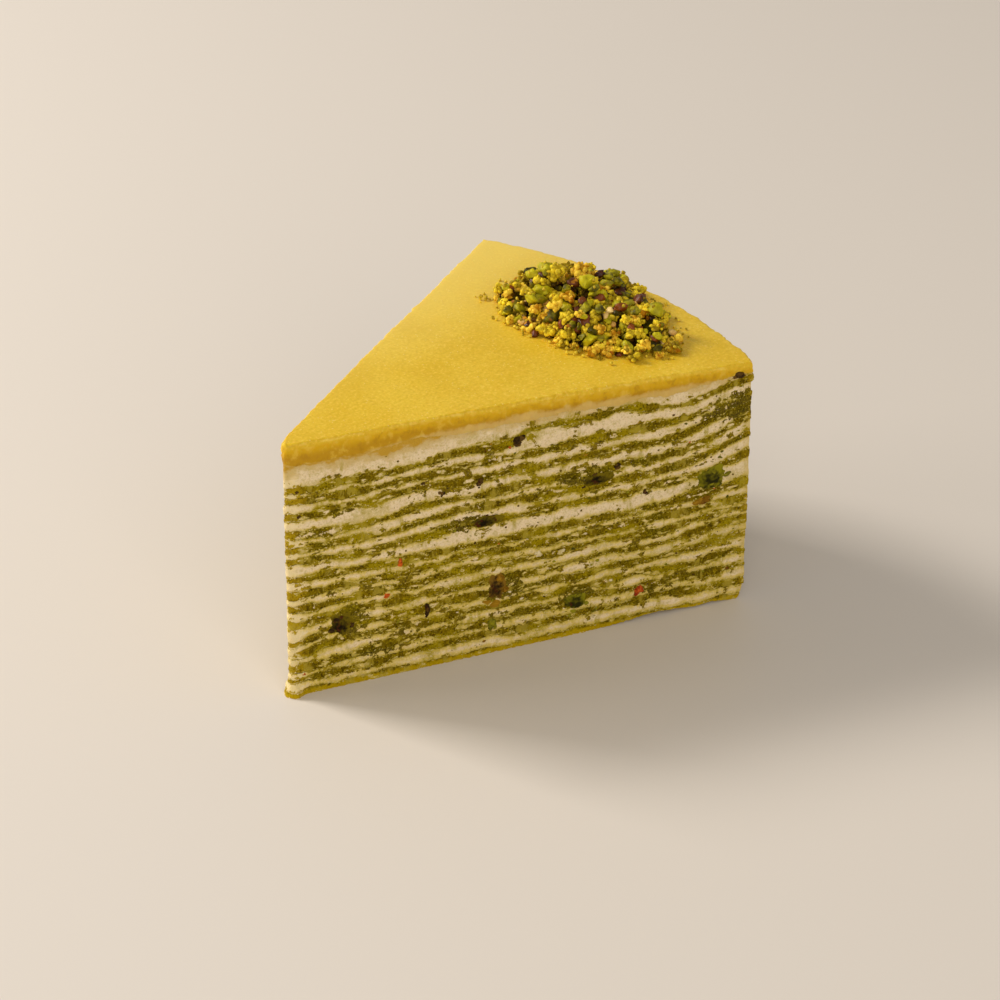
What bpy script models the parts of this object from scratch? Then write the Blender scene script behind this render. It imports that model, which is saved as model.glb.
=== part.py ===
"""A slice of pistachio crepe cake.

Fifteen thin green crepes lie with a layer of cream on each of them. A set mustard-yellow glaze
covers the top, a heap of chopped pistachios lies on it near the round rim, and the largest
bits of nut that were spread between the crepes show in the two cut faces.

The slice lies with the middle of its underside at the origin. Its tip points to -X and its
round rim to +X, the two cut faces look towards -Y and +Y, and +Z is up. Lengths are in metres.
"""

import math
import random

import bmesh
import bpy
from mathutils import Vector, noise

MM = 0.001

# The cake and the slice
CAKE_RADIUS = 115 * MM
HALF_ANGLE = math.radians(22.5)
TIP_ROUNDING = 1.4 * MM
TIP_HEIGHT = 65.5 * MM
FALL_TO_RIM = 1.9 * MM
FOOT_FLARE = 1.2 * MM
FOOT_HEIGHT = 3.0 * MM
TIP_LEAN = 0.7 * MM
RIM_TUCK = 1.8 * MM
RIM_TUCK_HEIGHT = 5.0 * MM

# The layers: the cream's thickness is given at four shares of the cake's radius
STATIONS = (0.16, 0.38, 0.80, 0.99)
CREPE = 1.6 * MM
CREAMS = [
    [thickness * MM for thickness in layer]
    for layer in (
        (2.1, 3.0, 3.4, 2.7),
        (1.8, 1.7, 2.1, 2.6),
        (2.9, 2.1, 1.7, 2.8),
        (1.6, 1.8, 2.2, 2.7),
        (2.1, 2.1, 2.1, 3.0),
        (1.7, 2.2, 1.8, 1.1),
        (2.0, 1.9, 1.7, 1.0),
        (2.3, 1.1, 1.7, 2.3),
        (2.4, 3.8, 3.9, 4.6),
        (1.7, 2.6, 2.1, 3.2),
        (1.8, 1.5, 2.2, 2.4),
        (3.6, 2.8, 2.5, 2.9),
        (2.1, 1.7, 2.6, 1.9),
        (1.0, 2.0, 3.0, 2.6),
        (5.8, 4.4, 2.4, 1.4),
    )
]
GLAZE = [thickness * MM for thickness in (5.3, 5.0, 4.9, 3.4)]
GLAZE_EDGE = 1.2 * MM

# How unevenly the cream was spread, and how the crepes ripple
SPREAD_SWING = 0.22
SPREAD_LENGTH = 9 * MM
RIPPLE_HEIGHT = 0.16 * MM
RIPPLE_LENGTH = 5 * MM
CUT_ROUGHNESS = 0.12 * MM
RIM_ROUGHNESS = 0.45 * MM

# Touching pieces keep this gap
GAP = 0.3 * MM

# The grid that every layer is made from
ALONG = 8
ACROSS = 5

# Bits of nut in the cut faces: side, distance from the cake's centre, height, length, tall (mm)
NUT_BITS = {
    "nut_bit_green_large": (-1, 105.8, 35.2, 7.0, 6.2),
    "nut_bit_green_low": (-1, 71.8, 9.2, 5.5, 4.5),
    "nut_bit_brown": (-1, 52.0, 18.0, 4.0, 7.0),
    "nut_bit_dark_flat": (-1, 49.8, 36.0, 7.0, 2.8),
    "nut_bit_dark_tip": (-1, 14.5, 17.0, 5.5, 6.0),
    "nut_bit_dark_long": (-1, 77.0, 41.0, 7.5, 3.0),
    "nut_bit_far_green": (1, 88.0, 24.0, 6.5, 5.0),
    "nut_bit_far_brown": (1, 37.0, 44.0, 5.0, 3.4),
    "nut_bit_far_dark": (1, 62.0, 12.5, 6.0, 4.0),
}
NUT_DEPTH = 5.0 * MM
NUT_INSET = 0.9 * MM
NUT_PROUD = 0.2 * MM
NUT_LUMPS = 0.12

# The heap of chopped nuts
HEAP_CENTRE = (35.5 * MM, -4.8 * MM)
HEAP_HALF = (15.0 * MM, 22.5 * MM)
HEAP_HEIGHT = 5.4 * MM
GRAINS = 88
GRAIN_SIZES = (5.4 * MM, 4.2 * MM, 3.2 * MM, 2.6 * MM)
GRAIN_SHARES = (0.09, 0.24, 0.34, 0.33)
GOLDEN_TURN = math.pi * (3 - math.sqrt(5))

TIP_CENTRE = TIP_ROUNDING / math.sin(HALF_ANGLE)
CAKE_CENTRE_X = -(CAKE_RADIUS + TIP_CENTRE - TIP_ROUNDING - FOOT_FLARE) / 2

COLOURS = {
    "crepe": ((0.205, 0.155, 0.016), 0.75),
    "cream": ((0.62, 0.50, 0.27), 0.6),
    "glaze": ((0.76, 0.50, 0.07), 0.35),
    "nut_green": ((0.07, 0.10, 0.015), 0.5),
    "nut_brown": ((0.10, 0.035, 0.015), 0.55),
    "chopped_nuts": ((0.42, 0.36, 0.05), 0.6),
}


# Materials

def material(name):
    """The named plain material of a sub-part."""
    colour, roughness = COLOURS[name]
    made = bpy.data.materials.get(name) or bpy.data.materials.new(name)
    made.use_nodes = True
    shader = made.node_tree.nodes["Principled BSDF"]
    shader.inputs["Base Color"].default_value = (*colour, 1.0)
    shader.inputs["Roughness"].default_value = roughness
    shader.inputs["Metallic"].default_value = 0.0
    return made


# The slice's form

def plan(along, across, outset=0.0, tip_outset=0.0, rim_outset=0.0):
    """Where a point lies seen from above: along from tip 0 to rim 1, across from cut face -1 to 1."""
    turn = (math.pi / 2 - HALF_ANGLE) * across
    tip_way = Vector((-math.cos(turn), math.sin(turn)))
    rim_way = Vector((math.cos(HALF_ANGLE * across), math.sin(HALF_ANGLE * across)))
    tip = Vector((TIP_CENTRE, 0.0)) + tip_way * (TIP_ROUNDING + tip_outset)
    rim = rim_way * (CAKE_RADIUS + rim_outset)
    face_way = Vector((-math.sin(HALF_ANGLE) * abs(across), math.cos(HALF_ANGLE) * across))
    middle = math.sin(math.pi * along)
    place = tip.lerp(rim, along) + face_way * outset * middle ** 0.25
    return Vector((place.x + CAKE_CENTRE_X, place.y))


def from_centre(x, y):
    """How far a place is from the cake's centre."""
    return math.hypot(x - CAKE_CENTRE_X, y)


def top_height(x, y):
    """The height of the glaze's top, which falls a little towards the rim."""
    return TIP_HEIGHT - FALL_TO_RIM * (from_centre(x, y) / CAKE_RADIUS) ** 2


def at_station(values, share):
    """A thickness at a share of the cake's radius, eased between the stations."""
    for inner, outer, first, last in zip(STATIONS, STATIONS[1:], values, values[1:]):
        if share < outer:
            step = min(max((share - inner) / (outer - inner), 0.0), 1.0)
            return first + (last - first) * step * step * (3 - 2 * step)
    return values[-1]


def surfaces(x, y):
    """The heights of the plate, of every surface between two layers, and of the top at a place."""
    share = from_centre(x, y) / CAKE_RADIUS
    turned = 0.5 + 0.5 * math.atan2(y, x - CAKE_CENTRE_X) / HALF_ANGLE
    thicknesses = []
    for number, cream in enumerate(CREAMS):
        heading = 2.4 * number
        wave = math.sin((x * math.cos(heading) + y * math.sin(heading)) / SPREAD_LENGTH + 1.7 * number)
        swing = 1 + SPREAD_SWING * min(max(turned, 0.0), 1.0) * wave
        thicknesses += [CREPE, at_station(cream, share) * swing]
    thicknesses.append(at_station(GLAZE, share))
    top = top_height(x, y)
    stretch = top / sum(thicknesses)
    heights = [0.0]
    for thickness in thicknesses:
        heights.append(heights[-1] + thickness * stretch)
    for number in range(1, len(heights) - 1):
        share_up = heights[number] / top
        ripple = math.sin(x / RIPPLE_LENGTH + 0.5 * (number // 2) - 0.4 * y / RIPPLE_LENGTH)
        heights[number] += RIPPLE_HEIGHT * ripple * math.sin(math.pi * share_up)
    return heights


def tip_outset(height):
    """How far the tip stands out: a wet foot flares at the plate, and the top leans back."""
    return FOOT_FLARE * math.exp(-((height / FOOT_HEIGHT) ** 2)) - TIP_LEAN * height / TIP_HEIGHT


def rim_outset(height):
    """How far the rim draws in near the plate, where the cake's lower edge is rounded."""
    return -RIM_TUCK * max(0.0, 1 - height / RIM_TUCK_HEIGHT) ** 2


# Layers

def mesh_object(name, mesh_source, collection, finish):
    """An object of a finished bmesh, in its collection, with its material."""
    mesh = bpy.data.meshes.new(name)
    mesh_source.to_mesh(mesh)
    mesh_source.free()
    made = bpy.data.objects.new(name, mesh)
    collection.objects.link(made)
    if finish:
        mesh.materials.append(material(finish))
    return made


def layer(name, surface, finish, collection):
    """One crepe, cream or glaze layer, between one surface and the next, as a closed solid."""
    draws = random.Random(name)
    whole_outset = draws.uniform(-CUT_ROUGHNESS, CUT_ROUGHNESS)
    whole_rim = draws.uniform(-RIM_ROUGHNESS, RIM_ROUGHNESS)
    top_surface = surface + 1
    lowest = surface == 0
    highest = top_surface == 2 * len(CREAMS) + 1
    rings = ((0, 0.0, 0.0), (1, 0.0, 0.0))
    if highest:
        rings = ((0, 0.0, 0.0), (1, 0.0, GLAZE_EDGE), (1, 0.3 * GLAZE_EDGE, 0.3 * GLAZE_EDGE),
                 (1, GLAZE_EDGE, 0.0))
    shape = bmesh.new()
    bmesh.ops.create_grid(shape, x_segments=ALONG, y_segments=ACROSS, size=1.0)
    bmesh.ops.triangulate(shape, faces=shape.faces[:])
    ring_vertices = [shape.verts[:]]
    for _ring in rings[1:]:
        last = set(ring_vertices[-1])
        faces = [face for face in shape.faces if last.issuperset(face.verts)]
        moved = bmesh.ops.extrude_face_region(shape, geom=faces, use_keep_orig=True)
        if len(ring_vertices) > 1:
            bmesh.ops.delete(shape, geom=faces, context="FACES")
        ring_vertices.append([item for item in moved["geom"] if isinstance(item, bmesh.types.BMVert)])
    for (upper, inset, drop), vertices in zip(rings, ring_vertices):
        for vertex in filter(lambda one: one.is_valid, vertices):
            along = (vertex.co.x + 1) / 2
            across = vertex.co.y
            rough = noise.noise(Vector((along * 7, across * 5, surface * 3.1))) * CUT_ROUGHNESS
            flat = plan(along, across)
            height = surfaces(*flat)[surface + upper]
            flat = plan(along, across, whole_outset + rough - inset,
                        tip_outset(height) - inset, rim_outset(height) + whole_rim + rough - inset)
            height = surfaces(*flat)[surface + upper]
            if upper and not highest:
                height -= GAP / 2
            if not upper and not lowest:
                height += GAP / 2
            vertex.co = (flat.x, flat.y, height - drop)
    bmesh.ops.recalc_face_normals(shape, faces=shape.faces[:])
    return mesh_object(name, shape, collection, finish)


# Bits of nut in the cut faces

def nut_lump(name, centre, half_sizes, turn, collection, seed, divisions=2, finish=None):
    """A knobbly lump of nut, made from an icosphere, turned about the vertical."""
    shape = bmesh.new()
    bmesh.ops.create_icosphere(shape, subdivisions=divisions, radius=1.0)
    offset = Vector((seed * 1.3, seed * 2.7, 4.2))
    for vertex in shape.verts:
        swell = 1 + NUT_LUMPS * noise.noise(vertex.co * 1.7 + offset)
        way = Vector([axis * half * swell for axis, half in zip(vertex.co, half_sizes)])
        vertex.co = centre + Vector((
            way.x * math.cos(turn) - way.y * math.sin(turn),
            way.x * math.sin(turn) + way.y * math.cos(turn),
            way.z,
        ))
    bmesh.ops.recalc_face_normals(shape, faces=shape.faces[:])
    return mesh_object(name, shape, collection, finish)


def nut_bit(name, side, distance, height, length, tall, seed):
    """A bit of nut that the knife went through, and the cutter of the pocket that it sits in."""
    along_face = Vector((math.cos(HALF_ANGLE), side * math.sin(HALF_ANGLE), 0.0))
    out_of_face = Vector((-math.sin(HALF_ANGLE), side * math.cos(HALF_ANGLE), 0.0))
    on_face = Vector((CAKE_CENTRE_X, 0.0, height * MM)) + along_face * distance * MM
    centre = on_face - out_of_face * NUT_INSET
    half_sizes = (length * MM / 2, NUT_DEPTH / 2, tall * MM / 2)
    turn = side * HALF_ANGLE
    finish = "nut_green" if "green" in name else "nut_brown"
    bit = nut_lump(name, centre, half_sizes, turn, slice_pieces, seed, finish=finish)
    shape = bmesh.new()
    shape.from_mesh(bit.data)
    cut = bmesh.ops.bisect_plane(shape, geom=shape.verts[:] + shape.edges[:] + shape.faces[:], dist=1e-7,
                                 plane_co=on_face + out_of_face * NUT_PROUD, plane_no=out_of_face,
                                 clear_outer=True)
    rim = [item for item in cut["geom_cut"] if isinstance(item, bmesh.types.BMEdge)]
    bmesh.ops.contextual_create(shape, geom=rim)
    bmesh.ops.remove_doubles(shape, verts=shape.verts[:], dist=0.05 * MM)
    bmesh.ops.triangulate(shape, faces=shape.faces[:])
    bmesh.ops.recalc_face_normals(shape, faces=shape.faces[:])
    shape.to_mesh(bit.data)
    shape.free()
    wider = [half + GAP for half in half_sizes]
    pocket = nut_lump(name + "_pocket", centre, wider, turn, pocket_cutters, seed)
    pocket.hide_render = True
    pocket.display_type = "WIRE"
    return pocket


def cut_pockets(layers, cutters):
    """Cut each layer by the pockets that reach it."""
    for cutter in cutters:
        low = min(vertex.co.z for vertex in cutter.data.vertices)
        high = max(vertex.co.z for vertex in cutter.data.vertices)
        flat = sum((vertex.co for vertex in cutter.data.vertices), Vector()) / len(cutter.data.vertices)
        heights = surfaces(flat.x, flat.y)
        for number, piece in enumerate(layers):
            if heights[number] < high + GAP and heights[number + 1] > low - GAP:
                cut = piece.modifiers.new(cutter.name, "BOOLEAN")
                cut.object = cutter
                cut.operation = "DIFFERENCE"


# The heap of chopped nuts

def heap_height(x, y):
    """How high the heap's core stands over the glaze, and how near a place is to its border."""
    across = (x - HEAP_CENTRE[0]) / HEAP_HALF[0]
    along = (y - HEAP_CENTRE[1]) / HEAP_HALF[1]
    reach = min(math.hypot(across, along), 1.0)
    return HEAP_HEIGHT * (1 - reach ** 2.2) ** 0.75, reach


def heap_core(name, collection):
    """The low uneven dome that the shown grains are fused on."""
    shape = bmesh.new()
    bmesh.ops.create_uvsphere(shape, u_segments=16, v_segments=8, radius=1.0)
    for vertex in shape.verts:
        reach = min(math.hypot(vertex.co.x, vertex.co.y), 1.0)
        heading = math.atan2(vertex.co.y, vertex.co.x)
        border = 1 + 0.05 * math.sin(3 * heading + 0.6) + 0.03 * math.sin(5 * heading + 2.0)
        x = HEAP_CENTRE[0] + HEAP_HALF[0] * border * reach * math.cos(heading)
        y = HEAP_CENTRE[1] + HEAP_HALF[1] * border * reach * math.sin(heading)
        rise = heap_height(x, y)[0] if vertex.co.z > 0.01 else 0.0
        if abs(vertex.co.z) <= 0.01:
            rise = 0.5 * MM
        vertex.co = (x, y, top_height(x, y) + GAP + rise)
    bmesh.ops.recalc_face_normals(shape, faces=shape.faces[:])
    return mesh_object(name, shape, collection, "chopped_nuts")


def grain_size(draws):
    """A grain's size, with few of the largest."""
    pick = draws.random()
    for size, share in zip(GRAIN_SIZES, GRAIN_SHARES):
        pick -= share
        if pick < 0:
            return size * draws.uniform(0.88, 1.12)
    return GRAIN_SIZES[-1]


def heap_of_nuts(name, cake):
    """The heap: a core with the shown grains fused on at their true size, as one closed solid."""
    core = heap_core(name, cake)
    grains = bpy.data.collections.new("grains")
    bpy.context.scene.collection.children.link(grains)
    draws = random.Random(7)
    sizes = sorted((grain_size(draws) for _grain in range(GRAINS)), reverse=True)
    order = list(range(GRAINS))
    draws.shuffle(order)
    for size, place in zip(sizes, order):
        reach = math.sqrt((place + 0.5) / GRAINS)
        heading = place * GOLDEN_TURN + draws.uniform(-0.12, 0.12)
        x = HEAP_CENTRE[0] + HEAP_HALF[0] * reach * math.cos(heading)
        y = HEAP_CENTRE[1] + HEAP_HALF[1] * reach * math.sin(heading)
        half = (size / 2, size * draws.uniform(0.34, 0.46), size * draws.uniform(0.3, 0.42))
        rise = heap_height(x, y)[0]
        floor = top_height(x, y) + GAP + half[2] * 1.12
        centre = Vector((x, y, max(top_height(x, y) + GAP + rise + half[2] * 0.25, floor)))
        nut_lump(f"grain_{place}", centre, half, draws.uniform(0, math.tau), grains, place, divisions=1)
    union = core.modifiers.new("grains", "BOOLEAN")
    union.operation = "UNION"
    union.operand_type = "COLLECTION"
    union.collection = grains
    bpy.context.view_layer.objects.active = core
    bpy.ops.object.modifier_apply(modifier=union.name)
    for grain in list(grains.objects):
        bpy.data.objects.remove(grain)
    bpy.data.collections.remove(grains)
    keep_outer_shell(core.data)
    return core


def keep_outer_shell(mesh):
    """Fill the hollows that fusing sealed, and drop loose scraps: only the largest shell stays."""
    shape = bmesh.new()
    shape.from_mesh(mesh)
    bmesh.ops.remove_doubles(shape, verts=shape.verts[:], dist=0.01 * MM)
    bmesh.ops.dissolve_degenerate(shape, edges=shape.edges[:], dist=0.01 * MM)
    left = set(shape.verts)
    shells = []
    while left:
        front = [left.pop()]
        shell = list(front)
        while front:
            vertex = front.pop()
            for edge in vertex.link_edges:
                other = edge.other_vert(vertex)
                if other in left:
                    left.remove(other)
                    front.append(other)
                    shell.append(other)
        shells.append(shell)
    largest = max(shells, key=len)
    spare = [vertex for shell in shells if shell is not largest for vertex in shell]
    bmesh.ops.delete(shape, geom=spare, context="VERTS")
    bmesh.ops.triangulate(shape, faces=shape.faces[:])
    shape.to_mesh(mesh)
    shape.free()


# The slice put together

for old in list(bpy.data.objects):
    bpy.data.objects.remove(old)

slice_pieces = bpy.data.collections.new("crepe_cake_slice")
pocket_cutters = bpy.data.collections.new("cutters")
bpy.context.scene.collection.children.link(slice_pieces)
bpy.context.scene.collection.children.link(pocket_cutters)

all_layers = []
for level in range(len(CREAMS)):
    all_layers.append(layer(f"crepe_{level + 1:02d}", 2 * level, "crepe", slice_pieces))
    all_layers.append(layer(f"cream_{level + 1:02d}", 2 * level + 1, "cream", slice_pieces))
all_layers.append(layer("glaze", 2 * len(CREAMS), "glaze", slice_pieces))

pockets = [nut_bit(name, *sizes, seed) for seed, (name, sizes) in enumerate(NUT_BITS.items())]
cut_pockets(all_layers, pockets)

heap_of_nuts("chopped_nuts", slice_pieces)
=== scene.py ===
import math
import random

import bmesh
import bpy
import numpy as np
from mathutils import Euler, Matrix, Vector, noise


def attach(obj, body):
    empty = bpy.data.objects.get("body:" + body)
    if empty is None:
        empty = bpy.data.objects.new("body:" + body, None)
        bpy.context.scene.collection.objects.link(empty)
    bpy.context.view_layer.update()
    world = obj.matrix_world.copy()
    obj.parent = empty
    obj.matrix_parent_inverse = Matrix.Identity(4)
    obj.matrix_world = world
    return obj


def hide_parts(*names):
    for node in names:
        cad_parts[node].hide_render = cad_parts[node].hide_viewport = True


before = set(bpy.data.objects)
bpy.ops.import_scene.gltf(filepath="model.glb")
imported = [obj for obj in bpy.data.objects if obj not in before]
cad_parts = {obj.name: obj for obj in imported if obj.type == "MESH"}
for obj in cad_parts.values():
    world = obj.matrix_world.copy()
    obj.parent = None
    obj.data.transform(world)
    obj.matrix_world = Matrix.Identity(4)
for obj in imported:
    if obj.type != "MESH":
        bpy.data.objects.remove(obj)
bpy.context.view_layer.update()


# The stand, the light and the camera
# These aren't part of the slice: a plain pale floor, a large soft window light from the left and
# behind, a wide weak fill from the camera's side, and a camera that looks down on the cut face.

MM = 0.001
CAMERA_AZIMUTH = math.radians(-44.4)
CAMERA_ELEVATION = math.radians(30.9)
CAMERA_DISTANCE = 750 * MM
CAMERA_TARGET = Vector((0.4 * MM, -10.4 * MM, 32.5 * MM))
CAMERA_LENS = 117.4


def from_view(right, back, up):
    """A direction given as seen by the camera: to the right, away from it, and upwards."""
    level_right = Vector((math.cos(CAMERA_AZIMUTH), math.sin(CAMERA_AZIMUTH), 0))
    level_back = Vector((-math.sin(CAMERA_AZIMUTH), math.cos(CAMERA_AZIMUTH), 0))
    return level_right * right + level_back * back + Vector((0, 0, up))


def plain_material(name, colour, roughness):
    """A material whose shader has one colour and roughness; returns it with its shader node."""
    made = bpy.data.materials.new(name)
    made.use_nodes = True
    shader = made.node_tree.nodes["Principled BSDF"]
    shader.inputs["Base Color"].default_value = (*colour, 1)
    shader.inputs["Roughness"].default_value = roughness
    return made, shader


def soft_light(name, place, size, power, colour):
    """A square area light that looks at the slice."""
    bpy.ops.object.light_add(type="AREA", location=place)
    lamp = bpy.context.object
    lamp.name = name
    lamp.rotation_euler = (CAMERA_TARGET - place).to_track_quat("-Z", "Y").to_euler()
    lamp.data.size = size
    lamp.data.energy = power
    lamp.data.color = colour


bpy.ops.object.select_all(action="DESELECT")
bpy.ops.mesh.primitive_plane_add(size=6)
floor = bpy.context.object
floor.name = "floor"
floor.data.materials.append(plain_material("pale_floor", (0.72, 0.655, 0.58), 0.55)[0])

bpy.ops.object.camera_add()
camera = bpy.context.object
camera.location = CAMERA_TARGET + from_view(
    0, -math.cos(CAMERA_ELEVATION), math.sin(CAMERA_ELEVATION)) * CAMERA_DISTANCE
camera.rotation_euler = (CAMERA_TARGET - camera.location).to_track_quat("-Z", "Y").to_euler()
camera.data.lens = CAMERA_LENS
bpy.context.scene.camera = camera

soft_light("window", from_view(-1.0, 0.4, 0.85), 0.36, 13.5, (1.0, 0.96, 0.91))
soft_light("fill", from_view(0.25, -1.3, 0.7), 1.2, 10.0, (1.0, 0.96, 0.89))
soft_light("side", from_view(-1.3, 0.0, 0.35), 0.5, 5.0, (1.0, 0.95, 0.88))
world = bpy.data.worlds.new("room")
world.use_nodes = True
world.node_tree.nodes["Background"].inputs["Color"].default_value = (1.0, 0.96, 0.91, 1)
world.node_tree.nodes["Background"].inputs["Strength"].default_value = 0.36
bpy.context.scene.world = world
bpy.context.scene.view_settings.view_transform = "Standard"


# The crepes and the cream between them
# Fifteen thin crepes of green pistachio batter, each spread with cream by hand, so that every
# layer runs through the whole cake. The chilled cake was cut with a long knife, which dragged
# crumbs and cream over the two cut faces.

CAKE_RADIUS = 115 * MM
HALF_ANGLE = math.radians(22.5)
TIP_ROUNDING = 1.4 * MM
TIP_HEIGHT = 65.5 * MM
FALL_TO_RIM = 1.9 * MM
FOOT_FLARE = 1.2 * MM
FOOT_HEIGHT = 3.0 * MM
TIP_LEAN = 0.7 * MM
RIM_TUCK = 1.8 * MM
RIM_TUCK_HEIGHT = 5.0 * MM
TIP_CENTRE = TIP_ROUNDING / math.sin(HALF_ANGLE)
CAKE_CENTRE_X = -(CAKE_RADIUS + TIP_CENTRE - TIP_ROUNDING - FOOT_FLARE) / 2

STATIONS = (0.16, 0.38, 0.8, 0.99)
CREPE = 1.6 * MM
CREAMS = (
    (2.1, 3.0, 3.4, 2.7),
    (1.8, 1.7, 2.1, 2.6),
    (2.9, 2.1, 1.7, 2.8),
    (1.6, 1.8, 2.2, 2.7),
    (2.1, 2.1, 2.1, 3.0),
    (1.7, 2.2, 1.8, 1.1),
    (2.0, 1.9, 1.7, 1.0),
    (2.3, 1.1, 1.7, 2.3),
    (2.4, 3.8, 3.9, 4.6),
    (1.7, 2.6, 2.1, 3.2),
    (1.8, 1.5, 2.2, 2.4),
    (3.6, 2.8, 2.5, 2.9),
    (2.1, 1.7, 2.6, 1.9),
    (1.0, 2.0, 3.0, 2.6),
    (5.8, 4.4, 2.4, 1.4),
)
GLAZE = (5.3, 5.0, 4.9, 3.4)
SPREAD_SWING = 0.22
SPREAD_LENGTH = 9 * MM
RIPPLE_HEIGHT = 0.16 * MM
RIPPLE_LENGTH = 5 * MM
SPONGE_SPREAD = 0.04 * MM
SPONGE_SWING = 0.7 * MM
TIP_SAG = 3.2 * MM
RIM_RISE = 3.4 * MM
LAYER_GAP = 0.02 * MM
LAYER_CREASE = 55
RIM_REACH = 0.035
TIP_REACH = 0.03
TOP_CREPE = 2 * len(CREAMS) - 2
TOP_CREAM = TOP_CREPE + 1
TOP_CREPE_RISE = 1.9 * MM
PLATE_CURL = 1.1 * MM

# Each stain: distance from the cake's centre, height, half length, half height in mm, depth
STAINS = (
    (44, 36.5, 8, 2.2, 0.9), (74, 42.5, 8, 2.4, 1.0), (17, 17.5, 5, 4.5, 1.0), (110, 53, 8, 4, 1.0),
    (54, 17, 6, 4.0, 0.9), (94, 8.5, 7, 2.5, 0.8), (32, 12, 6, 2.2, 0.7), (24, 7.5, 5, 2.4, 0.8),
    (52, 9.5, 5, 2.4, 0.7), (71.5, 11, 5, 2.6, 0.9), (34, 47, 4, 2.0, 0.6), (63, 41, 5, 1.8, 0.7),
    (104, 33, 5, 4.0, 0.7), (100, 44, 6, 1.8, 0.6), (83, 28, 7, 1.5, 0.5), (38, 25, 7, 1.5, 0.5),
    (10, 25, 5, 2.0, 0.6), (88, 19, 6, 1.6, 0.5), (30, 33, 5, 1.4, 0.5), (58, 50, 6, 1.5, 0.5),
)

# How finely the blank layers are divided: in the plan, along their sides and from below to above
LAYER_GRID = (72, 14)
SIDE_POINTS = 360
RIM_POINTS = 280
CREPE_ROWS = 5
CREAM_ROWS = 7


def bumps(points, size, seed):
    """Smooth noise between -1 and 1 at many points, in lumps of one size."""
    shift = np.array((7.13, 3.71, 1.37)) * seed
    return np.array([noise.noise(place) for place in (points / size + shift).tolist()])


def layered_bumps(places, *layers):
    """Bumps laid over each other: each has its height, its size in millimetres and its seed."""
    return sum(height * bumps(places, size * MM, seed) for height, size, seed in layers)


def plan(along, across, cut_out=0.0, tip_out=0.0, rim_out=0.0):
    """Places seen from above: along from tip 0 to rim 1, across from cut face -1 to cut face 1."""
    turn = (math.pi / 2 - HALF_ANGLE) * across
    tip_x = TIP_CENTRE - np.cos(turn) * (TIP_ROUNDING + tip_out)
    tip_y = np.sin(turn) * (TIP_ROUNDING + tip_out)
    rim_x = np.cos(HALF_ANGLE * across) * (CAKE_RADIUS + rim_out)
    rim_y = np.sin(HALF_ANGLE * across) * (CAKE_RADIUS + rim_out)
    cut_out = cut_out * np.clip(np.sin(math.pi * along), 0, 1) ** 0.25
    x = tip_x + (rim_x - tip_x) * along - math.sin(HALF_ANGLE) * np.abs(across) * cut_out
    y = tip_y + (rim_y - tip_y) * along + math.cos(HALF_ANGLE) * across * cut_out
    return x + CAKE_CENTRE_X, y


def top_height(x, y):
    """The height of the glaze's top, which falls a little towards the rim."""
    return TIP_HEIGHT - FALL_TO_RIM * (np.hypot(x - CAKE_CENTRE_X, y) / CAKE_RADIUS) ** 2


def eased(value, start, end):
    """0 before a start, 1 after an end, and eased between them."""
    step = np.clip((value - start) / (end - start), 0, 1)
    return step * step * (3 - 2 * step)


def at_station(values, share):
    """A thickness at a share of the cake's radius, eased between the stations."""
    thickness = np.full_like(share, values[0])
    for inner, outer, first, last in zip(STATIONS, STATIONS[1:], values, values[1:]):
        thickness += (last - first) * eased(share, inner, outer)
    return thickness * MM


def stack_heights(x, y):
    """The heights of the plate, of every surface between two layers, and of the top."""
    share = np.hypot(x - CAKE_CENTRE_X, y) / CAKE_RADIUS
    turned = np.clip(0.5 + 0.5 * np.arctan2(y, x - CAKE_CENTRE_X) / HALF_ANGLE, 0, 1)
    thicknesses = []
    for number, cream in enumerate(CREAMS):
        heading = 2.4 * number
        stroke = (x * math.cos(heading) + y * math.sin(heading)) / SPREAD_LENGTH
        wave = np.sin(stroke + 1.7 * number)
        thicknesses.append(np.full_like(share, CREPE))
        thicknesses.append(at_station(cream, share) * (1 + SPREAD_SWING * turned * wave))
    thicknesses.append(at_station(GLAZE, share))
    top = top_height(x, y)
    heights = np.vstack([np.zeros_like(top), np.cumsum(thicknesses, axis=0)])
    heights *= top / heights[-1]
    for number in range(1, len(heights) - 1):
        ripple = np.sin(x / RIPPLE_LENGTH + 0.5 * (number // 2) - 0.4 * y / RIPPLE_LENGTH)
        heights[number] += RIPPLE_HEIGHT * ripple * np.sin(math.pi * heights[number] / top)
    return heights


def shown_face(x, y):
    """How far places lie from the cake's centre along the shown cut face, and how far behind it."""
    distance = (x - CAKE_CENTRE_X) * math.cos(HALF_ANGLE) - y * math.sin(HALF_ANGLE)
    behind = (x - CAKE_CENTRE_X) * math.sin(HALF_ANGLE) + y * math.cos(HALF_ANGLE)
    return distance, np.clip(behind, 0, None)


def hill(value, middle, half_width):
    """A smooth hill of height 1 round a middle."""
    return np.exp(-(((value - middle) / half_width) ** 2))


def plate_lift(x, y):
    """How far the lowest crepe curls off the plate at the shown cut face, near the rim."""
    distance, behind = shown_face(x, y)
    curl = hill(distance, 93 * MM, 9 * MM) + 0.5 * hill(distance, 107 * MM, 3 * MM)
    return PLATE_CURL * curl * np.exp(-behind / (3 * MM))


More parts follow.
